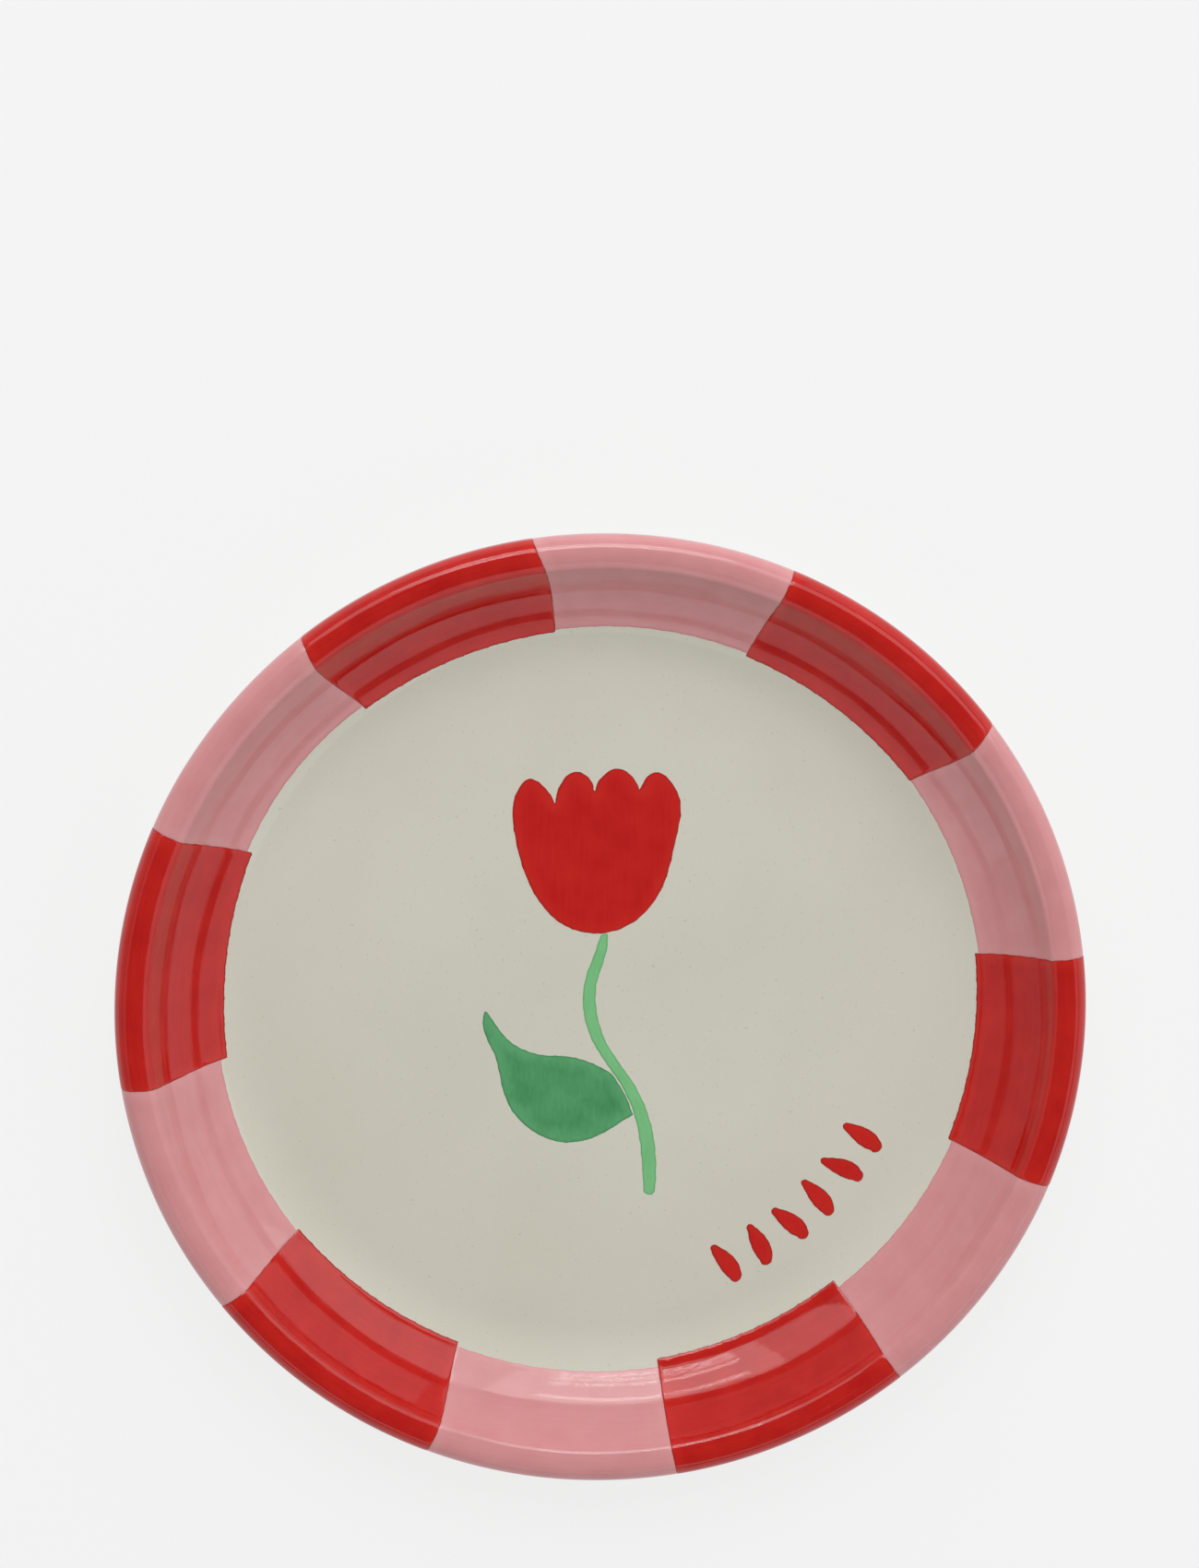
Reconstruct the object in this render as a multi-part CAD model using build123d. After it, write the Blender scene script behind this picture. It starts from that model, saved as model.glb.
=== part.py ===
from build123d import *
import math
import os

# A hand painted ceramic plate. A fired clay body is dipped in a cream glaze, its foot is wiped clean, and
# blocks of pink and red, a tulip and a row of dabs are brushed onto the raw glaze and fused into it.
# Millimetres. The origin is the centre of the circle that the foot rests on, +Z is up out of the plate and
# +Y points to the top of the tulip.

# Overall sizes, over the glaze and the colour
plate_diameter = 210.0
plate_height = 21.7

# The well, the cove round it and the lip
floor_height = 7.8      # of the glazed well above the table
rim_width = 31.5        # edge of the flat well to the outer edge
lip_width = 7.0         # crease at the top of the cove to the outer edge
lip_rise = 0.8          # crest of the lip above the crease
lip_roll = 2.8          # radius that turns the crest down to the outer side
lip_depth = 5.0         # crest down to the corner under the lip
crease_round = 1.2
lip_under_round = 2.5

# The foot ring
foot_outer_radius = 68.0
foot_width = 4.0        # of the bare tread
foot_height = 2.8
foot_taper = 0.8        # how far each side of the foot leans out towards its root
tread_round = 0.7
root_round = 1.0

# Layers
glaze_thickness = 0.35
paint_thickness = 0.18
bare_foot = 1.1         # height of the wiped clay above the table
paint_band = 22.5       # inner end of the rim blocks to the outer edge
paint_depth = 5.8       # crest down to where the blocks stop, on the rounded corner under the lip

# Rim blocks
block_count = 12
first_edge = -7.5       # direction of the first block's first edge, clockwise from +Y
side_overshoot = 8.0    # how far a block's outline runs past the paint at both ends

# The row of dabs
dab_count = 6
dab_gap = 3.2           # outer ends of the dabs to the edge of the flat well, drawn at the tulip's scale
first_dab = 118.1       # direction of the first dab, clockwise from +Y
dab_step = 7.3
dab_lean = 9.0          # every second dab leans the other way

# Hand painted outlines. How far each edge between two blocks strays from an even twelfth, in degrees, at
# the inner end, at the crease and at the outer edge.
edge_stray = [
    (0.6, 0.2, -0.8), (-0.3, 0.3, 0.4), (1.4, 1.7, 0.5), (0.3, 0.9, 0.9),
    (-0.3, -0.3, -0.6), (-1.7, -1.4, -1.2), (-1.6, -1.6, -1.8), (-0.6, -1.7, -1.4),
    (-0.2, -1.0, -0.8), (-1.1, -2.1, -1.6), (1.4, 0.4, 0.6), (-0.4, -1.5, -0.6),
]
# How far each block stops short of the paint band's inner end at its start, middle and finish.
block_short = [
    (0.3, 0.5, 0.6), (0.0, -0.3, 0.3), (0.4, 0.2, 0.4), (-0.2, -0.7, -0.2),
    (0.5, 0.4, 0.3), (-1.3, -1.5, -1.0), (0.5, 0.4, 0.5), (-0.4, -0.4, 0.2),
    (0.5, 0.6, 0.5), (-0.7, -1.1, 0.1), (0.7, 1.1, 0.7), (0.0, -0.4, 0.0),
]
# The tulip is drawn for a flat well of this radius and grows with it.
drawn_well_radius = 73.5
tulip_cup = [
    (-9.8, 43.8), (-12.0, 47.4), (-15.4, 49.3), (-18.2, 46.2), (-18.8, 38.0), (-15.3, 25.6), (-9.5, 17.8),
    (-1.5, 14.7), (7.0, 17.0), (13.4, 24.5), (16.6, 36.0), (16.9, 45.8), (12.6, 50.6), (8.4, 46.8),
]
tulip_third_petal = [(8.4, 46.8), (6.9, 49.8), (3.8, 51.5), (0.6, 50.0), (-1.3, 46.5)]
tulip_second_petal = [(-1.3, 46.5), (-3.1, 50.0), (-5.6, 50.8), (-8.2, 48.8), (-9.8, 43.8)]
leaf_outline = [
    (8.2, -25.2), (4.2, -27.8), (-1.5, -30.9), (-8.5, -31.7), (-15.0, -28.9), (-20.5, -21.6), (-23.0, -11.8),
    (-25.4, -3.9), (-24.9, -2.3), (-23.2, -4.0), (-18.6, -9.6), (-13.0, -11.9), (-6.0, -12.5), (0.6, -15.0),
    (5.8, -19.0), (8.2, -25.2),
]
# Brush strokes: x, y and the width of the stroke there.
stem_stroke = [
    (1.0, 15.6, 1.4), (0.0, 10.0, 2.7), (-1.9, 4.0, 2.9), (-2.1, -2.0, 3.1), (0.4, -10.0, 2.8),
    (6.0, -18.6, 2.8), (9.4, -26.4, 3.2), (10.8, -34.5, 3.4), (11.0, -42.3, 2.8),
]
dab_stroke = [(0.4, -4.2, 2.0), (0.1, -1.6, 3.6), (-0.1, 1.2, 4.2), (0.1, 3.6, 3.0)]

# Worked out from the sizes above
plate_radius = plate_diameter / 2
coat = glaze_thickness + paint_thickness
well_radius = plate_radius - rim_width
crease_radius = plate_radius - lip_width
foot_inner_radius = foot_outer_radius - foot_width
motif_scale = well_radius / drawn_well_radius
dab_reach = max(y + width / 2 for x, y, width in dab_stroke)
dab_circle = (drawn_well_radius - dab_gap - dab_reach) * motif_scale
block_angle = 360 / block_count
paint_inner_radius = plate_radius - paint_band
paint_low = plate_height - paint_depth


def polar(radius, angle):
    """Point at this radius and this angle in degrees, clockwise from +Y."""
    return (radius * math.sin(math.radians(angle)), radius * math.cos(math.radians(angle)))


def nearest_vertex(face, point):
    return face.vertices().sort_by_distance(point)[0]


def clay_section():
    """Half of the clay's cross-section, x outwards and y up, with the centre of its cove."""
    floor_top = floor_height - glaze_thickness
    clay_radius = plate_radius - coat
    clay_crest = plate_height - coat
    crease = (crease_radius, clay_crest - lip_rise)
    crest = (clay_radius - lip_roll, clay_crest)
    under_lip = (clay_radius, plate_height - lip_depth)
    foot_root_out = (foot_outer_radius + foot_taper, foot_height)
    foot_root_in = (foot_inner_radius - foot_taper, foot_height)
    tread_out = (foot_outer_radius, 0)
    tread_in = (foot_inner_radius, 0)

    floor = Line((0, floor_top), (well_radius, floor_top))
    cove = TangentArc((well_radius, floor_top), crease, tangent=(1, 0))
    lip_top = TangentArc(crest, crease, tangent=(-1, 0))
    roll = JernArc(crest, (1, 0), lip_roll, -90)
    outer_side = Line(roll @ 1, under_lip)
    wall = TangentArc(foot_root_out, under_lip, tangent=(1, 0))
    foot = Polyline(foot_root_out, tread_out, tread_in, foot_root_in, (0, foot_height), (0, floor_top))
    section = make_face(floor + cove + lip_top + roll + outer_side + wall + foot)

    for point, radius in [
        (crease, crease_round),
        (under_lip, lip_under_round),
        (foot_root_out, root_round),
        (foot_root_in, root_round),
        (tread_out, tread_round),
        (tread_in, tread_round),
    ]:
        section = fillet(nearest_vertex(section, point), radius)
    return section, cove.arc_center


def solid_of_revolution(section):
    """Turn a half-section round the plate's axis."""
    return revolve(Plane.XZ * section, axis=Axis.Z)


def box_section(low_x, low_y, high_x, high_y):
    centre = ((low_x + high_x) / 2, (low_y + high_y) / 2)
    return Pos(*centre) * Rectangle(high_x - low_x, high_y - low_y)


def layer_sections(clay):
    """The half-sections of the two glazes and of the unbroken band of colour on the rim."""
    section, cove_centre = clay
    beyond = plate_diameter
    right_half = box_section(0, -beyond, beyond, beyond)
    glazed = offset(section, glaze_thickness, kind=Kind.ARC) & right_half
    painted = offset(section, coat, kind=Kind.ARC) & right_half

    above_bare_foot = box_section(0, bare_foot, beyond, beyond)
    foot_middle = (foot_inner_radius + foot_outer_radius) / 2
    wall_middle = (foot_height + floor_height) / 2
    inside_foot = box_section(0, 0, foot_middle, wall_middle)
    glaze = (glazed - section) & above_bare_foot
    shell = glaze - inside_foot
    base = glaze & inside_foot

    cove_radius = cove_centre.Y - (floor_height - glaze_thickness)
    face_side = Pos(cove_centre.X, cove_centre.Y) * Circle(cove_radius + crease_round)
    lip_side = box_section(crease_radius, paint_low, beyond, beyond)
    band_start = box_section(well_radius, 0, beyond, beyond)
    colour = (painted - glazed) & (face_side + lip_side) & band_start
    return shell, base, colour


def edge_curve(number):
    """Hand painted edge between two rim blocks, from inside the well to outside the plate."""
    even = first_edge + number * block_angle
    inner, middle, outer = [even + stray for stray in edge_stray[number % block_count]]
    return Spline(
        polar(paint_inner_radius - side_overshoot, inner),
        polar(paint_inner_radius, inner),
        polar(crease_radius, middle),
        polar(plate_radius, outer),
        polar(plate_radius + side_overshoot, outer),
    )


def block_outline(number):
    """Plan of one rim block: a wedge between two edges, less the bare well that it stops at."""
    first = edge_curve(number)
    last = edge_curve(number + 1)
    wedge = make_face(first + Line(first @ 1, last @ 1) + last + Line(last @ 0, first @ 0))

    start = first_edge + number * block_angle
    reach = [paint_inner_radius + short for short in block_short[number]]
    margin = block_angle / 6
    stops = [start - margin, start + block_angle / 2, start + block_angle + margin]
    brushed_end = Spline(*[polar(radius, angle) for radius, angle in zip(reach, stops)])
    bare_well = make_face(brushed_end + Polyline(brushed_end @ 1, (0, 0), brushed_end @ 0))
    return wedge - bare_well


def upright(outline, height=plate_height * 2):
    """Prism standing on the plan outline, tall enough to cut through the whole plate."""
    return extrude(outline, amount=height)


def brush_stroke(points):
    """Outline of one stroke of a round brush along points of x, y and width."""
    centres = [Vector(x, y) for x, y, width in points]
    path = Spline(*centres)
    left = []
    right = []
    for centre, (x, y, width) in zip(centres, points):
        along = path.tangent_at(centre)
        across = Vector(-along.Y, along.X) * (width / 2)
        left.append(centre + across)
        right.append(centre - across)
    start_cap = ThreePointArc(right[0], centres[0] - (path % 0) * (points[0][2] / 2), left[0])
    end_cap = ThreePointArc(left[-1], centres[-1] + (path % 1) * (points[-1][2] / 2), right[-1])
    return make_face(start_cap + Spline(*left) + end_cap + Spline(*reversed(right)))


def on_the_well(outline, place=Pos(0, 0, 0)):
    """A film of colour with this drawn outline, scaled to the plate and laid on the flat glazed well."""
    film = extrude(scale(outline, motif_scale), amount=paint_thickness)
    return Pos(0, 0, floor_height) * place * film


def tulip():
    """Head, stem and leaf, each stopping where the one over it begins."""
    head = make_face(Spline(*tulip_cup) + Spline(*tulip_third_petal) + Spline(*tulip_second_petal))
    stem = brush_stroke(stem_stroke) - head
    leaf = make_face(Spline(*leaf_outline)) - brush_stroke(stem_stroke)
    return {"tulip_head": head, "tulip_stem": stem, "tulip_leaf": leaf}


def dab_place(number):
    """Where a dab lies and how it is turned, its broad end towards the rim."""
    direction = first_dab + number * dab_step
    lean = dab_lean if number % 2 else -dab_lean
    return Pos(*polar(dab_circle, direction)) * Rot(0, 0, lean - direction)


def make_plate():
    clay = clay_section()
    shell, base, colour = layer_sections(clay)
    nodes = {
        "clay_body": solid_of_revolution(clay[0]),
        "glaze_shell": solid_of_revolution(shell),
        "base_glaze": solid_of_revolution(base),
    }
    colour_band = solid_of_revolution(colour)
    for number in range(block_count):
        shade = "red" if number % 2 else "pink"
        name = f"rim_{shade}_{number // 2 + 1}"
        nodes[name] = colour_band & upright(block_outline(number))
    for name, outline in tulip().items():
        nodes[name] = on_the_well(outline)
    for number in range(dab_count):
        nodes[f"dab_{number + 1}"] = on_the_well(brush_stroke(dab_stroke), dab_place(number))
    return nodes


os.makedirs("parts", exist_ok=True)
for name, piece in make_plate().items():
    export_step(piece, f"parts/{name}.step")
    print(f"{name}: {len(piece.solids())} solid, {piece.volume:.1f} mm3")
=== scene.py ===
import math

import bpy
import numpy as np
from mathutils import Matrix, Vector
from mathutils.geometry import delaunay_2d_cdt


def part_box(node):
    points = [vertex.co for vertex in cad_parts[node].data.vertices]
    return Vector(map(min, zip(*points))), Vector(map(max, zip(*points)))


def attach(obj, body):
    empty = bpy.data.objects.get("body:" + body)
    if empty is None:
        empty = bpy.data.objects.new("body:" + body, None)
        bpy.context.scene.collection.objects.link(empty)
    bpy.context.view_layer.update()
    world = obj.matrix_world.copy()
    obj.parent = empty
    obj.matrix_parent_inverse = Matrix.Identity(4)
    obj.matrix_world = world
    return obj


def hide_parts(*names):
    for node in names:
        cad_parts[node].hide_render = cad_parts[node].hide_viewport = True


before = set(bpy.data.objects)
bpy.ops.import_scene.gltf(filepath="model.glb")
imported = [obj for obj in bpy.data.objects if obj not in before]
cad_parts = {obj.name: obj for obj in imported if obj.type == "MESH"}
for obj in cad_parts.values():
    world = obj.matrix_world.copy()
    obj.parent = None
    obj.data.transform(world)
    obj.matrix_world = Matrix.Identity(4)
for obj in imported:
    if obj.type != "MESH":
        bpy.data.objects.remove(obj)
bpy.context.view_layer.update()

# A hand painted ceramic plate: glossy cream glaze over clay, with films of colour brushed on it. The glazes
# and the films are rebuilt here as dense smooth surfaces on the outlines and sizes of the CAD nodes.
# Lengths are in millimetres until a mesh is written, because the plate's design is.
MM = 0.001

# Sizes of the clay's section that no node's box gives
RIM_WIDTH = 31.5
LIP_WIDTH = 7.0
LIP_RISE = 0.8
LIP_ROLL = 2.8
LIP_DEPTH = 5.0
CREASE_ROUND = 1.2
LIP_UNDER_ROUND = 2.5
FOOT_OUTER = 68.0
FOOT_WIDTH = 4.0
FOOT_HEIGHT = 2.8
FOOT_TAPER = 0.8
FOOT_ROOT_ROUND = 1.0

PROFILE_STEP = 0.05         # spacing of the points that describe the section
ARC_POINTS = 4              # points that describe each degree of an arc
BEND_RINGS = 45             # rings of mesh for each radian that the section bends
PLATE_SEGMENTS = 480        # round the plate

CLAY_GAP = 0.02             # between the clay and the underside of a glaze
WIPED_WIDTH = 2.0           # over which a glaze thins towards its wiped edge
WIPED_SHARE = 0.8           # of the glaze that is gone at that edge

PINK_FILM = 0.07            # thickness of each colour on the glaze
RED_FILM = 0.12
STEM_FILM = 0.10
LEAF_FILM = 0.11
DAB_FILM = 0.11
FILM_DEPTH = 0.06           # how far a film's underside lies in the glaze
EDGE_SINK = 0.02            # how far its upper side ends below the glaze
FILM_RAMP = 0.55            # width of a film's soft edge
EDGE_RINGS = (0.15, 0.35, 0.6)      # insets of the rings of points that shape that edge
INNER_INSET = 0.75          # of the grid of points inside them
EDGE_WOBBLE = 0.10          # how far a brushed edge strays from its outline
WELL_GROWTH = 0.05          # how far a film in the well grows past the CAD node's outline
BLOCK_GROWTH = 0.25         # the same for a block of the rim, so that neighbours overlap
WELL_GRID = 0.8             # spacing of the points inside a film
BLOCK_GRID = 0.9


def box_mm(node):
    low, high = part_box(node)
    return np.array(low) / MM, np.array(high) / MM


_, clay_high = box_mm("clay_body")
glaze_low, glaze_high = box_mm("glaze_shell")
head_low, head_high = box_mm("tulip_head")
CLAY_RADIUS = clay_high[1]
CLAY_CREST = clay_high[2]
GLAZE = glaze_high[2] - clay_high[2]
BARE_FOOT = glaze_low[2]
FLOOR_TOP = head_low[2]
PAINT = head_high[2] - head_low[2]
PLATE_RADIUS = CLAY_RADIUS + GLAZE + PAINT
WELL_RADIUS = PLATE_RADIUS - RIM_WIDTH
CREASE_RADIUS = PLATE_RADIUS - LIP_WIDTH


# ---------------------------------------------------------------- the plate's section

def direction(start, end):
    """Angle in degrees of the line from start to end."""
    return math.degrees(math.atan2(end[1] - start[1], end[0] - start[0]))


def tangent_arc_centre(start, end):
    """Centre of the arc that leaves start level, rises on its right and passes through end."""
    run, rise = end[0] - start[0], end[1] - start[1]
    radius = (run * run + rise * rise) / (2 * rise)
    return (start[0], start[1] + radius), abs(radius)


def circles_meet(centre_a, radius_a, centre_b, radius_b, near):
    """The point where two circles cross, the one nearest to near."""
    a, b = np.array(centre_a), np.array(centre_b)
    gap = np.linalg.norm(b - a)
    along = (gap * gap + radius_a ** 2 - radius_b ** 2) / (2 * gap)
    aside = math.sqrt(radius_a ** 2 - along ** 2)
    unit = (b - a) / gap
    normal = np.array([-unit[1], unit[0]])
    found = [a + unit * along + normal * aside * sign for sign in (1, -1)]
    return min(found, key=lambda p: np.linalg.norm(p - np.array(near)))


def distance_along(points):
    """Distance of each point from the first, along the line through them."""
    steps = np.linalg.norm(np.diff(points, axis=0), axis=1)
    return np.concatenate([[0], np.cumsum(steps)])


def points_along(points, along, wanted):
    """Points on the line through these, at the wanted distances along it."""
    return np.stack([np.interp(wanted, along, points[:, k]) for k in (0, 1)], 1)


def trace(arcs):
    """Evenly spaced points along arcs of centre, radius and two angles, joined by straight lines."""
    corners = []
    for centre, radius, first, last in arcs:
        count = max(2, int(abs(last - first)) * ARC_POINTS)
        for angle in np.radians(np.linspace(first, last, count)):
            corners.append((centre[0] + radius * math.cos(angle), centre[1] + radius * math.sin(angle)))
    corners = np.array(corners)
    along = distance_along(corners)
    even = np.linspace(0, along[-1], int(along[-1] / PROFILE_STEP))
    return points_along(corners, along, even), even


def face_arcs(thickness):
    """The section from the middle of the well over the lip to the foot, this far outside the clay."""
    floor = FLOOR_TOP - GLAZE
    crease = (CREASE_RADIUS, CLAY_CREST - LIP_RISE)
    cove_centre, cove_radius = tangent_arc_centre((WELL_RADIUS, floor), crease)
    roll_centre = (CLAY_RADIUS - LIP_ROLL, CLAY_CREST - LIP_ROLL)
    lip_run = roll_centre[0] - crease[0]
    lip_radius = (lip_run ** 2 + LIP_RISE ** 2) / (2 * LIP_RISE)
    lip_centre = (roll_centre[0], CLAY_CREST - lip_radius)
    crease_centre = circles_meet(
        cove_centre, cove_radius + CREASE_ROUND, lip_centre, lip_radius - CREASE_ROUND, crease)

    under_lip = (CLAY_RADIUS, CLAY_CREST + GLAZE + PAINT - LIP_DEPTH)
    wall_centre, wall_radius = tangent_arc_centre((FOOT_OUTER + FOOT_TAPER, FOOT_HEIGHT), under_lip)
    under_x = CLAY_RADIUS - LIP_UNDER_ROUND
    under_drop = math.sqrt((wall_radius - LIP_UNDER_ROUND) ** 2 - (under_x - wall_centre[0]) ** 2)
    under_centre = (under_x, wall_centre[1] - under_drop)

    foot_lean = math.degrees(math.atan2(FOOT_TAPER, FOOT_HEIGHT))
    root_centre = (FOOT_OUTER + FOOT_TAPER + FOOT_ROOT_ROUND, FOOT_HEIGHT - FOOT_ROOT_ROUND)
    foot_end = (FOOT_OUTER + FOOT_TAPER * BARE_FOOT / FOOT_HEIGHT + thickness, BARE_FOOT)
    cove_end = direction(cove_centre, crease_centre)
    lip_start = direction(lip_centre, crease_centre)
    wall_start = direction(wall_centre, under_centre)
    wall_end = -88.5        # beside the rounded corner of the foot
    return [
        ((0, floor + thickness), 0, 0, 0),
        (cove_centre, cove_radius - thickness, -90, cove_end),
        (crease_centre, CREASE_ROUND + thickness, cove_end + 180, lip_start),
        (lip_centre, lip_radius + thickness, lip_start, 90),
        (roll_centre, LIP_ROLL + thickness, 90, 0),
        (under_centre, LIP_UNDER_ROUND + thickness, 0, wall_start),
        (wall_centre, wall_radius + thickness, wall_start, wall_end),
        (root_centre, FOOT_ROOT_ROUND - thickness, 90, 180 - foot_lean),
        (foot_end, 0, 0, 0),
    ]


def base_arcs(thickness):
    """The section inside the foot ring, from its bare edge to the middle of the base."""
    inner = FOOT_OUTER - FOOT_WIDTH
    foot_lean = math.degrees(math.atan2(FOOT_TAPER, FOOT_HEIGHT))
    foot_end = (inner - FOOT_TAPER * BARE_FOOT / FOOT_HEIGHT - thickness, BARE_FOOT)
    root_centre = (inner - FOOT_TAPER - FOOT_ROOT_ROUND, FOOT_HEIGHT - FOOT_ROOT_ROUND)
    return [
        (foot_end, 0, 0, 0),
        (root_centre, FOOT_ROOT_ROUND - thickness, foot_lean, 90),
        ((0, FOOT_HEIGHT - thickness), 0, 0, 0),
    ]


class Section:
    """Points along a section, with the distance along it and the outward normal at each."""

    def __init__(self, arcs):
        self.points, self.along = trace(arcs)
        slope = np.gradient(self.points, self.along, axis=0)
        self.normals = np.stack([-slope[:, 1], slope[:, 0]], 1)
        self.normals /= np.linalg.norm(self.normals, axis=1)[:, None]

    def at(self, along):
        point = [np.interp(along, self.along, self.points[:, k]) for k in (0, 1)]
        normal = [np.interp(along, self.along, self.normals[:, k]) for k in (0, 1)]
        return point, normal

    def nearest(self, radius, height):
        """Distance along the section of the point nearest to each of these, and its height above it."""
        found = []
        for r, z in zip(radius, height):
            offset = self.points - (r, z)
            index = np.argmin((offset ** 2).sum(1))
            found.append((self.along[index], -offset[index] @ self.normals[index]))
        return np.array(found).T

    def samples(self, coarse):
        """Distances along the section, this coarse where it is straight and closer where it bends."""
        facing = np.unwrap(np.arctan2(self.normals[:, 1], self.normals[:, 0]))
        weight = np.abs(np.gradient(facing)) * BEND_RINGS + PROFILE_STEP / coarse
        total = np.cumsum(weight)
        return np.interp(np.linspace(0, total[-1], int(total[-1])), total, self.along)


FACE = Section(face_arcs(GLAZE))
AROUND = np.linspace(0, 2 * math.pi, PLATE_SEGMENTS, endpoint=False)


def unevenness(along, angle):
    """Height of the glaze above its true surface: slow waves that a hand leaves in clay and glaze."""
    waves = (
        0.050 * np.sin(3 * angle + 0.11 * along + 0.6)
        + 0.040 * np.sin(5 * angle - 0.16 * along + 2.1)
        + 0.022 * np.sin(8 * angle + 0.23 * along + 4.0)
        + 0.010 * np.sin(14 * angle - 0.42 * along + 1.3)
    )
    return waves * np.clip(along / 60, 0, 1)


def on_face(along, angle, height):
    """Points in metres, this far along the section, round the plate and above the glaze."""
    (radius, level), (out, up) = FACE.at(along)
    lift = height + unevenness(along, angle)
    radius = radius + out * lift
    return np.stack([radius * np.sin(angle), radius * np.cos(angle), level + up * lift], -1) * MM


# ---------------------------------------------------------------- meshes

def make_piece(name, points, faces, node, material):
    """A mesh of the plate that stands for a CAD node."""
    mesh = bpy.data.meshes.new(name)
    mesh.from_pydata([tuple(p) for p in points], [], faces)
    mesh.validate()
    mesh.shade_smooth()
    mesh.materials.append(material)
    piece = bpy.data.objects.new(name, mesh)
    bpy.context.scene.collection.objects.link(piece)
    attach(piece, "root")
    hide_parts(node)
    return piece


def turned_faces(rings, segments):
    """Quads between rings of points, and fans to the last two points, one at each end."""
    faces = []
    for ring in range(rings - 1):
        for k in range(segments):
            after = (k + 1) % segments
            low, high = ring * segments, (ring + 1) * segments
            faces.append((low + k, low + after, high + after, high + k))
    first_pole, last_pole = rings * segments, rings * segments + 1
    last = (rings - 1) * segments
    for k in range(segments):
        after = (k + 1) % segments
        faces.append((after, k, first_pole))
        faces.append((last + k, last + after, last_pole))
    return faces


def turned_piece(name, rings, poles, material):
    """A closed solid of revolution from rings of (radius, height) arrays round the plate."""
    points = [np.stack([r * np.sin(AROUND), r * np.cos(AROUND), z], -1) * MM for r, z in rings]
    points.append(np.array([(0, 0, height * MM) for height in poles]))
    faces = turned_faces(len(rings), PLATE_SEGMENTS)
    make_piece(name + "_surface", np.concatenate(points), faces, name, material)


def ring_of(section, along, height):
    """One ring on a section, this far along it and this far above it."""
    (radius, level), (out, up) = section.at(along)
    everywhere = np.ones(PLATE_SEGMENTS)
    return (radius + out * height) * everywhere, (level + up * height) * everywhere


def thinning(from_end):
    """How far the glaze falls short of its full thickness, this far from its wiped edge."""
    return -WIPED_SHARE * GLAZE * (1 - np.clip(from_end / WIPED_WIDTH, 0, 1)) ** 2


def make_glaze_shell(material):
    under = Section(face_arcs(CLAY_GAP))
    end = FACE.along[-1]
    rings = []
    for along in FACE.samples(1.4)[1:]:
        height = unevenness(along, AROUND) + thinning(end - along)
        rings.append(ring_of(FACE, along, height))
    for along in under.samples(3.0)[:0:-1]:
        rings.append(ring_of(under, along, 0))
    turned_piece("glaze_shell", rings, (FLOOR_TOP, FLOOR_TOP - GLAZE), material)


def make_base_glaze(material):
    glazed, under = Section(base_arcs(GLAZE)), Section(base_arcs(CLAY_GAP))
    rings = []
    for along in under.samples(4.0)[-2::-1]:
        rings.append(ring_of(under, along, 0))
    for along in glazed.samples(2.5)[:-1]:
        ripple = 0.03 * np.sin(4 * AROUND + 0.2 * along) * np.clip(along / 20, 0, 1)
        rings.append(ring_of(glazed, along, ripple + thinning(along)))
    poles = (FOOT_HEIGHT, FOOT_HEIGHT - GLAZE)
    turned_piece("base_glaze", rings, poles, material)


def open_edges(loops):
    """The edges of these faces that no other one of them shares, in the direction their face runs."""
    edges = {}
    for loop in loops:
        for a, b in zip(loop, list(loop[1:]) + [loop[0]]):
            edges[(a, b)] = True
    return [(a, b) for a, b in edges if (b, a) not in edges]


def film_outline(node):
    """Outline of a film's outer face as distances along the section and angles, in order round it."""
    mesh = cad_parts[node].data
    corners = np.array([v.co for v in mesh.vertices]) / MM
    keys = {}
    merged = [keys.setdefault(tuple(np.round(c, 4)), len(keys)) for c in corners]
    places = np.array(list(keys))
    radius = np.hypot(places[:, 0], places[:, 1])
    along, height = FACE.nearest(radius, places[:, 2])
    outer = height > PAINT / 2
    face_loops = [[merged[v] for v in polygon.vertices] for polygon in mesh.polygons]
    following = dict(open_edges([loop for loop in face_loops if all(outer[v] for v in loop)]))
    order = [min(following)]
    while following[order[-1]] != order[0]:
        order.append(following[order[-1]])
    angle = np.arctan2(places[order, 0], places[order, 1])
    return along[order], angle


def resample(outline, spacing):
    """Evenly spaced points on a closed outline."""
    closed = np.vstack([outline, outline[:1]])
    along = distance_along(closed)
    even = np.linspace(0, along[-1], int(along[-1] / spacing), endpoint=False)
    return points_along(closed, along, even)


def grown(outline, distance):
    """The outline moved outwards. It runs anticlockwise."""
    along = np.roll(outline, -2, 0) - np.roll(outline, 2, 0)
    normal = np.stack([along[:, 1], -along[:, 0]], 1) / np.linalg.norm(along, axis=1)[:, None]
    return outline + normal * distance


def anticlockwise(outline):
    """The outline, turned round if it runs clockwise."""
    x, y = outline[:, 0], outline[:, 1]
    area = (x * np.roll(y, -1) - np.roll(x, -1) * y).sum()
    return outline if area > 0 else outline[::-1]


def edge_distance(points, outline):
    """Distance from each point to the outline."""
    start, end = outline, np.roll(outline, -1, 0)
    best = np.full(len(points), 1e9)
    for a, b in zip(start, end):
        line = b - a
        share = np.clip(((points - a) @ line) / (line @ line), 0, 1)
        gap = np.linalg.norm(points - a - share[:, None] * line, axis=1)
        best = np.minimum(best, gap)
    return best


def inside(points, outline):
    """Whether each point is within the outline: a line from it crosses it an odd number of times."""
    x, y = points[:, 0], points[:, 1]
    found = np.zeros(len(points), bool)
    for (ax, ay), (bx, by) in zip(outline, np.roll(outline, -1, 0)):
        if ay != by:
            crosses = ((ay > y) != (by > y)) & (x < (bx - ax) * (y - ay) / (by - ay) + ax)
            found ^= crosses
    return found


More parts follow.
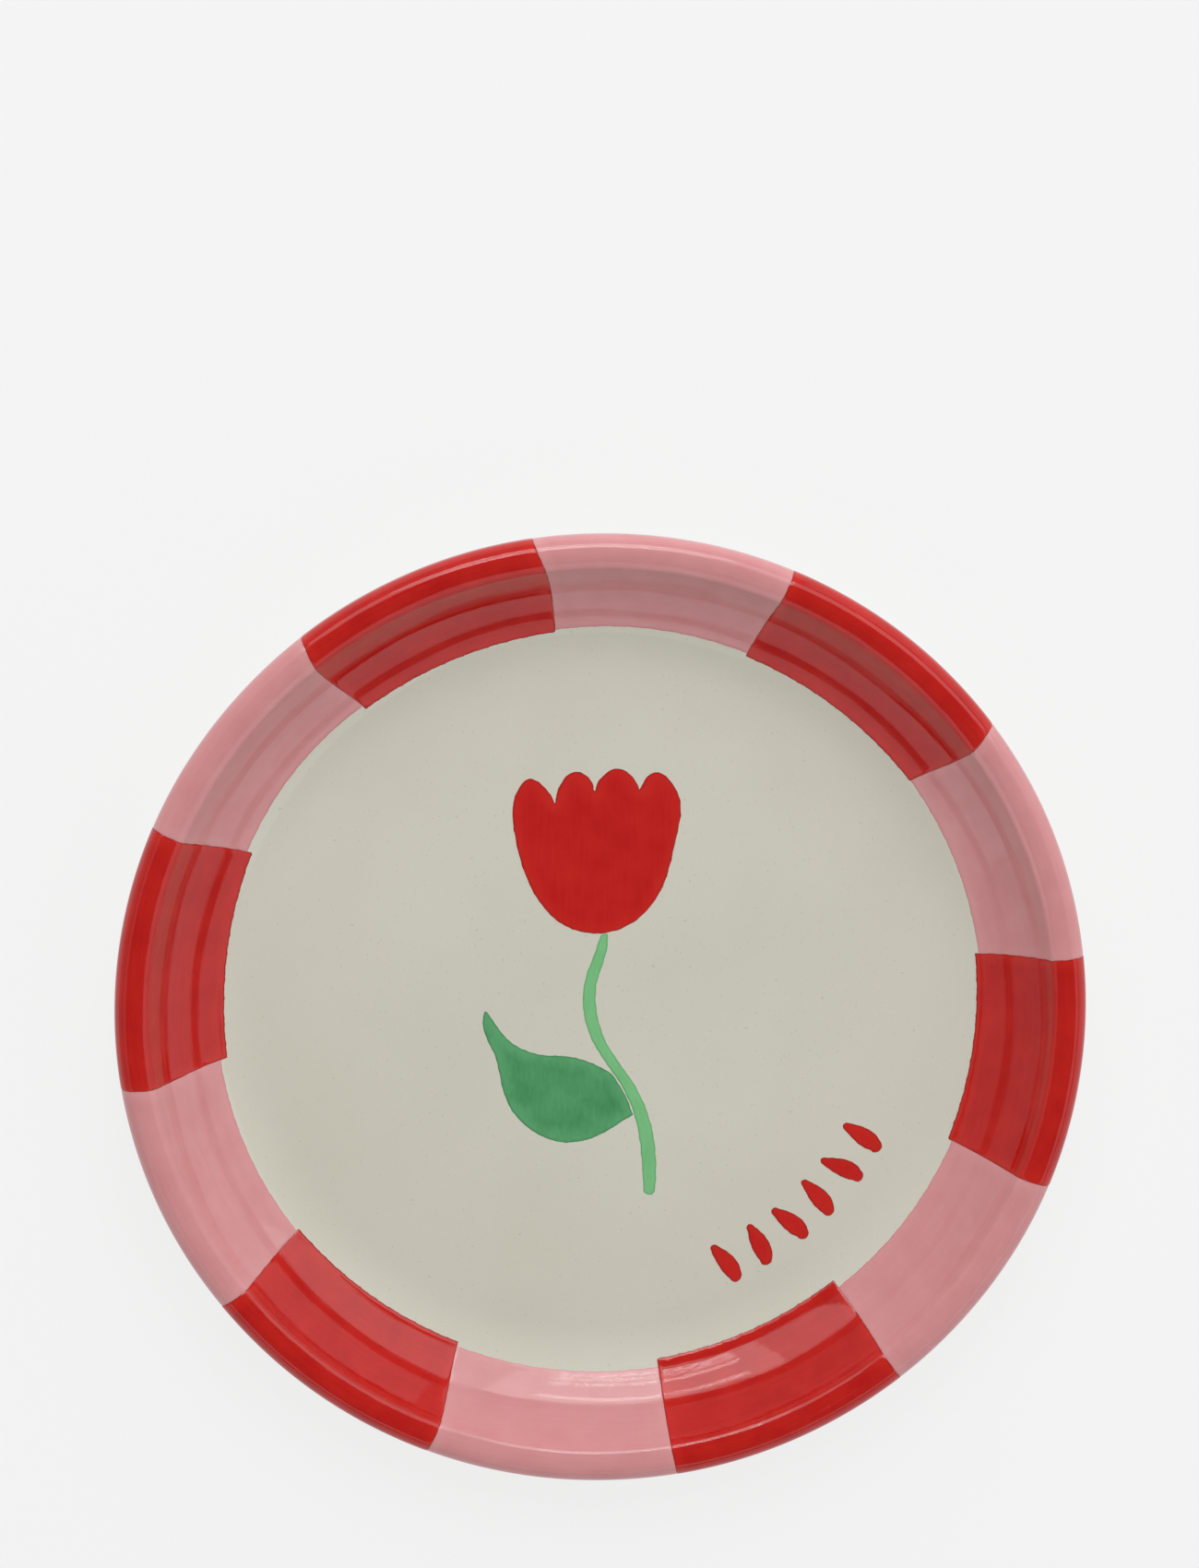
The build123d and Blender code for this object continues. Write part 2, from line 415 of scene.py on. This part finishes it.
def smooth_step(x):
    """A rise from 0 to 1 that starts and ends gently."""
    x = np.clip(x, 0, 1)
    return x * x * (3 - 2 * x)


def wobble(x, y, seed):
    """A small smooth unevenness of a brushed edge, from -1 to 1."""
    return (
        0.45 * np.sin(1.1 * x + 1.7 * y + seed)
        + 0.35 * np.sin(2.6 * x - 1.9 * y + 2.3 * seed)
        + 0.20 * np.sin(4.7 * x + 4.1 * y + 3.1 * seed)
    )


def film_piece(node, outline, grid, to_surface, thickness, material):
    """A closed film of colour on this flat outline, rounded down at its edges, laid on the plate."""
    rings = [grown(outline, -inset) for inset in EDGE_RINGS]
    inner = grid[inside(grid, outline)]
    inner = inner[edge_distance(inner, outline) > INNER_INSET]
    points = np.vstack([outline] + rings + [inner])
    count = len(outline)
    border = [(k, (k + 1) % count) for k in range(count)]
    flat, _, triangles, _, _, _ = delaunay_2d_cdt([Vector(p) for p in points], border, [], 1, 1e-5)
    flat = np.array([(p[0], p[1]) for p in flat])
    edge = edge_distance(flat, outline)
    seed = float(sum(ord(letter) for letter in node) % 17)      # some nodes share one
    reach = edge + EDGE_WOBBLE * (wobble(flat[:, 0], flat[:, 1], seed) - 0.5)
    height = -EDGE_SINK + (thickness + EDGE_SINK) * smooth_step(reach / FILM_RAMP)
    top = to_surface(flat, height)
    bottom = to_surface(flat, np.full(len(flat), -FILM_DEPTH))
    size = len(flat)
    faces = [tuple(t) for t in triangles]
    faces += [tuple(size + v for v in reversed(t)) for t in triangles]
    faces += [(b, a, size + a, size + b) for a, b in open_edges(triangles)]
    piece = make_piece(node + "_film", np.vstack([top, bottom]), faces, node, material)
    shade = piece.data.attributes.new("edge", "FLOAT", "POINT")
    shade.data.foreach_set("value", np.tile(reach, 2).astype(np.float32))
    brush = piece.data.attributes.new("brush", "FLOAT_VECTOR", "POINT")
    place = np.column_stack([flat, np.full(size, seed)])
    brush.data.foreach_set("vector", np.tile(place, (2, 1)).astype(np.float32).ravel())


def make_well_film(node, material, thickness):
    """A mark in the well, worked out flat: x and y are those of the plate, measured along its surface."""
    along, angle = film_outline(node)
    flat = np.stack([along * np.sin(angle), along * np.cos(angle)], 1)
    outline = grown(anticlockwise(resample(flat, 0.3)), WELL_GROWTH)
    low, high = outline.min(0), outline.max(0)
    xs, ys = (np.arange(low[k], high[k], WELL_GRID) for k in (0, 1))
    grid = np.array([(x, y) for y in ys for x in xs])

    def to_surface(points, height):
        x, y = points.T
        return on_face(np.hypot(x, y), np.arctan2(x, y), height)

    film_piece(node, outline, grid, to_surface, thickness, material)


def make_rim_film(node, material, thickness):
    """A block of the rim, worked out flat: x is the way round at the crease, y that along the section."""
    along, angle = film_outline(node)
    middle = math.atan2(np.sin(angle).mean(), np.cos(angle).mean())
    swing = (angle - middle + math.pi) % (2 * math.pi) - math.pi
    flat = np.stack([swing * CREASE_RADIUS, along], 1)
    outline = grown(anticlockwise(resample(flat, 0.4)), BLOCK_GROWTH)
    low, high = outline.min(0), outline.max(0)
    xs = np.arange(low[0], high[0], BLOCK_GRID)
    ys = FACE.samples(0.8)
    grid = np.array([(x, y) for y in ys if low[1] < y < high[1] for x in xs])

    def to_surface(points, height):
        return on_face(points[:, 1], middle + points[:, 0] / CREASE_RADIUS, height)

    film_piece(node, outline, grid, to_surface, thickness, material)


# ---------------------------------------------------------------- materials

class Nodes:
    """Short ways to add shader nodes to one material."""

    def __init__(self, name):
        self.material = bpy.data.materials.new(name)
        self.material.use_nodes = True
        self.tree = self.material.node_tree
        self.shader = next(n for n in self.tree.nodes if n.type == "BSDF_PRINCIPLED")

    def add(self, kind, inputs=None, **settings):
        node = self.tree.nodes.new(kind)
        for key, value in settings.items():
            setattr(node, key, value)
        for key, value in (inputs or {}).items():
            self.give(node.inputs[key], value)
        return node

    def give(self, socket, value):
        if isinstance(value, bpy.types.NodeSocket):
            self.tree.links.new(value, socket)
        elif socket.type == "RGBA":
            socket.default_value = (*value, 1)
        else:
            socket.default_value = value

    def noise(self, vector, scale, detail=3.0, roughness=0.5):
        node = self.add("ShaderNodeTexNoise", {
            "Vector": vector, "Scale": scale, "Detail": detail, "Roughness": roughness})
        return node.outputs["Fac"]

    def ramp(self, value, low, high, new_low=0.0, new_high=1.0):
        node = self.add("ShaderNodeMapRange", {
            "Value": value, "From Min": low, "From Max": high, "To Min": new_low, "To Max": new_high})
        return node.outputs["Result"]

    def math(self, operation, a, b):
        node = self.add("ShaderNodeMath", {0: a, 1: b}, operation=operation)
        return node.outputs[0]

    def mix(self, share, a, b):
        node = self.add("ShaderNodeMix", {"Factor": share, 6: a, 7: b}, data_type="RGBA")
        return node.outputs[2]

    def stretched(self, vector, scale, turn=0.0):
        node = self.add("ShaderNodeMapping", {
            "Vector": vector, "Scale": scale, "Rotation": (0, 0, math.radians(turn))})
        return node.outputs["Vector"]

    def bump(self, height, distance, strength, below=None):
        inputs = {"Height": height, "Distance": distance, "Strength": strength}
        if below is not None:
            inputs["Normal"] = below
        return self.add("ShaderNodeBump", inputs).outputs["Normal"]


def linear(r, g, b):
    """Linear colour of an 8-bit display colour whose channels are all above 10."""
    return tuple(((c / 255 + 0.055) / 1.055) ** 2.4 for c in (r, g, b))


def gloss(nodes, place):
    """The glassy surface that every glazed material has: clear, with a faint orange peel."""
    smudges = nodes.noise(place, 45.0, 2.0)
    nodes.give(nodes.shader.inputs["Roughness"], nodes.ramp(smudges, 0.3, 0.7, 0.012, 0.028))
    nodes.shader.inputs["IOR"].default_value = 1.52
    peel = nodes.noise(place, 420.0, 2.0)
    return nodes.bump(peel, 0.00003, 0.25)


def cream_glaze():
    nodes = Nodes("cream_glaze")
    place = nodes.add("ShaderNodeTexCoord").outputs["Object"]
    cloud = nodes.noise(place, 22.0, 4.0)
    colour = nodes.mix(nodes.ramp(cloud, 0.35, 0.65), linear(208, 206, 191), linear(212, 210, 196))
    specks = nodes.noise(place, 1500.0, 1.0)
    colour = nodes.mix(nodes.ramp(specks, 0.70, 0.78, 0.0, 0.35), colour, linear(170, 154, 126))
    nodes.give(nodes.shader.inputs["Base Color"], colour)
    nodes.give(nodes.shader.inputs["Normal"], gloss(nodes, place))
    return nodes.material


def brushed_colour(name, deep, thin, edge_dark, along, across, turn=0.0):
    """Colour brushed on: deep where thick, lighter in streaks and near its edge, dark at the edge."""
    nodes = Nodes(name)
    place = nodes.add("ShaderNodeTexCoord").outputs["Object"]
    brush = nodes.add("ShaderNodeAttribute", attribute_name="brush").outputs["Vector"]
    edge = nodes.add("ShaderNodeAttribute", attribute_name="edge").outputs["Fac"]
    streaks = nodes.noise(nodes.stretched(brush, (across, along, 1.0), turn), 1.0, 4.0, 0.6)
    patches = nodes.noise(brush, 0.16, 2.0)
    in_streaks = nodes.ramp(streaks, 0.3, 0.7, -0.2, 0.2)
    in_patches = nodes.ramp(patches, 0.3, 0.7, 0.3, 0.9)
    near_edge = nodes.ramp(edge, 0.6, 3.2, 0.55, 0.0)
    thick = nodes.math("SUBTRACT", nodes.math("ADD", in_streaks, in_patches), near_edge)
    colour = nodes.mix(nodes.ramp(thick, 0.0, 1.0), thin, deep)
    colour = nodes.mix(nodes.ramp(edge, 0.15, 0.55, 0.75, 0.0), colour, edge_dark)
    nodes.give(nodes.shader.inputs["Base Color"], colour)
    ridges = nodes.bump(streaks, 0.00004, 0.3, gloss(nodes, place))
    nodes.give(nodes.shader.inputs["Normal"], ridges)
    return nodes.material


def fired_clay():
    nodes = Nodes("fired_clay")
    place = nodes.add("ShaderNodeTexCoord").outputs["Object"]
    grain = nodes.noise(place, 900.0, 6.0, 0.7)
    stain = nodes.noise(place, 60.0, 3.0)
    colour = nodes.mix(nodes.ramp(grain, 0.3, 0.7), linear(196, 178, 152), linear(219, 205, 182))
    colour = nodes.mix(nodes.ramp(stain, 0.4, 0.7, 0.0, 0.4), colour, linear(186, 160, 128))
    nodes.give(nodes.shader.inputs["Base Color"], colour)
    nodes.give(nodes.shader.inputs["Roughness"], nodes.ramp(grain, 0.2, 0.8, 0.72, 0.9))
    nodes.give(nodes.shader.inputs["Normal"], nodes.bump(grain, 0.0001, 0.5))
    return nodes.material


# ---------------------------------------------------------------- the plate

def make_plate():
    cream = cream_glaze()
    red = brushed_colour(
        "red_colour", linear(186, 24, 21), linear(200, 37, 31), linear(128, 20, 18), 0.10, 1.3)
    rim_red = brushed_colour(
        "rim_red", linear(179, 20, 16), linear(196, 34, 26), linear(124, 18, 15), 1.3, 0.07)
    pink = brushed_colour(
        "pink_colour", linear(207, 137, 139), linear(213, 147, 148), linear(199, 128, 130), 1.3, 0.07)
    stem = brushed_colour(
        "stem_green", linear(108, 182, 115), linear(124, 194, 133), linear(90, 158, 98), 0.12, 1.2)
    leaf = brushed_colour(
        "leaf_green", linear(68, 139, 87), linear(92, 164, 110), linear(54, 120, 74), 0.3, 1.2, turn=35)
    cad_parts["clay_body"].data.materials.clear()
    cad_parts["clay_body"].data.materials.append(fired_clay())

    make_glaze_shell(cream)
    make_base_glaze(cream)
    for number in range(1, 7):
        make_rim_film(f"rim_pink_{number}", pink, PINK_FILM)
        make_rim_film(f"rim_red_{number}", rim_red, RED_FILM)
    make_well_film("tulip_head", red, RED_FILM)
    make_well_film("tulip_stem", stem, STEM_FILM)
    make_well_film("tulip_leaf", leaf, LEAF_FILM)
    for number in range(1, 7):
        make_well_film(f"dab_{number}", red, DAB_FILM)


# ---------------------------------------------------------------- the studio

# The studio's lengths are in metres
KEY_LIGHT_WATTS = 22.0
KEY_LIGHT_SIZE = 1.6
KEY_LIGHT_DISTANCE = 2.6
KEY_LIGHT_ASIDE = 0.1
KEY_LIGHT_DOWN = math.radians(60)       # from straight up
WORLD_GLOW = 0.86
FLOOR_HALF = 15

# Where the camera looks from, in the plate's frame: the plate's top leans 12 degrees away from it
CAMERA_BACK = Vector((-0.039, 0.209, 0.977))
CAMERA_UP = Vector((0.0041, 0.9778, -0.2094))
CAMERA_DISTANCE = 2.2
FRAME_HEIGHT = 0.3400       # of the picture at the plate
PLATE_BELOW_MIDDLE = 0.0469


def make_camera():
    camera = bpy.data.cameras.new("camera")
    camera.sensor_width = 36
    camera.lens = camera.sensor_width * CAMERA_DISTANCE / FRAME_HEIGHT
    camera.clip_start, camera.clip_end = 0.05, 60
    holder = bpy.data.objects.new("camera", camera)
    back = CAMERA_BACK.normalized()
    up = (CAMERA_UP - back * CAMERA_UP.dot(back)).normalized()
    right = up.cross(back)
    turn = Matrix((right, up, back)).transposed()
    aim = Vector((0, 0, FLOOR_TOP * MM)) + up * PLATE_BELOW_MIDDLE
    holder.matrix_world = Matrix.Translation(aim + back * CAMERA_DISTANCE) @ turn.to_4x4()
    bpy.context.scene.collection.objects.link(holder)
    bpy.context.scene.camera = holder


def panel_material(name, glow, albedo=0.03):
    """A matt surface that also gives off light, for the floor and the studio's panels."""
    material = bpy.data.materials.new(name)
    material.use_nodes = True
    shader = next(n for n in material.node_tree.nodes if n.type == "BSDF_PRINCIPLED")
    shader.inputs["Base Color"].default_value = (albedo, albedo, albedo, 1)
    shader.inputs["Roughness"].default_value = 0.9
    shader.inputs["Specular IOR Level"].default_value = 0.0
    shader.inputs["Emission Color"].default_value = (1, 1, 1, 1)
    shader.inputs["Emission Strength"].default_value = glow
    return material


def stage_mesh(name, points, faces, material):
    """A surface of the studio, which isn't part of the plate."""
    mesh = bpy.data.meshes.new(name)
    mesh.from_pydata(points, [], faces)
    mesh.materials.append(material)
    panel = bpy.data.objects.new(name, mesh)
    bpy.context.scene.collection.objects.link(panel)


def sky_patch(name, high, low, left, right, glow, lean=0.0, distance=3.2):
    """A panel of the dome over the plate. high and low are angles from straight up, left and right are
    directions clockwise from +Y, and the whole dome may lean towards -Y, all in degrees."""
    turn = Matrix.Rotation(math.radians(lean), 3, "X")
    columns = max(2, int((right - left) / 5))
    rows = max(2, int((low - high) / 5))
    points = []
    for down in np.radians(np.linspace(high, low, rows + 1)):
        for aside in np.radians(np.linspace(left, right, columns + 1)):
            out = math.sin(down)
            ray = Vector((out * math.sin(aside), out * math.cos(aside), math.cos(down)))
            points.append(turn @ ray * distance)
    faces = []
    for row in range(rows):
        for column in range(columns):
            corner = row * (columns + 1) + column
            faces.append((corner, corner + 1, corner + columns + 2, corner + columns + 1))
    stage_mesh(name, points, faces, panel_material(name, glow))


def make_key_light():
    """A large soft light from the far side. It shades the coves and stays out of the reflections."""
    lamp = bpy.data.lights.new("key_light", "AREA")
    lamp.shape = "DISK"
    lamp.size = KEY_LIGHT_SIZE
    lamp.energy = KEY_LIGHT_WATTS
    holder = bpy.data.objects.new("key_light", lamp)
    away = Vector((KEY_LIGHT_ASIDE, math.sin(KEY_LIGHT_DOWN), math.cos(KEY_LIGHT_DOWN)))
    holder.location = away * KEY_LIGHT_DISTANCE
    holder.rotation_euler = away.to_track_quat("Z", "Y").to_euler()
    holder.visible_glossy = False
    bpy.context.scene.collection.objects.link(holder)


def make_studio():
    scene = bpy.context.scene
    scene.view_settings.view_transform = "Standard"
    scene.cycles.use_denoising = True
    world = bpy.data.worlds.new("studio")
    scene.world = world
    world.use_nodes = True
    sky = world.node_tree.nodes["Background"].inputs
    sky["Color"].default_value = (0.99, 0.995, 1.0, 1)
    sky["Strength"].default_value = WORLD_GLOW

    floor = [(x * FLOOR_HALF, y * FLOOR_HALF, 0) for x, y in ((-1, -1), (1, -1), (1, 1), (-1, 1))]
    stage_mesh("floor", floor, [(0, 1, 2, 3)], panel_material("pale_floor", 0.79, albedo=0.12))
    sky_patch("overhead_gap", 0.5, 32, 0, 360, 0.10, lean=9, distance=3.0)
    sky_patch("shelf", 54, 62, 0, 360, 0.16, lean=3, distance=3.0)
    sky_patch("softbox", 21, 54, -32, 24, 2.9)
    sky_patch("softbox_left", 21, 54, -48, -32, 1.7)
    sky_patch("softbox_right", 25, 54, 24, 72, 1.6)
    sky_patch("grey_wall_left", 24, 88, -125, -48, 0.45)
    sky_patch("far_wall", 60, 88, -48, 32, 0.40)
    for down in (25.5, 29, 33.5, 46):
        sky_patch("strip", down, down + 0.6, -26, 15, 16.0, distance=2.9)
    make_key_light()


make_studio()
make_camera()
make_plate()
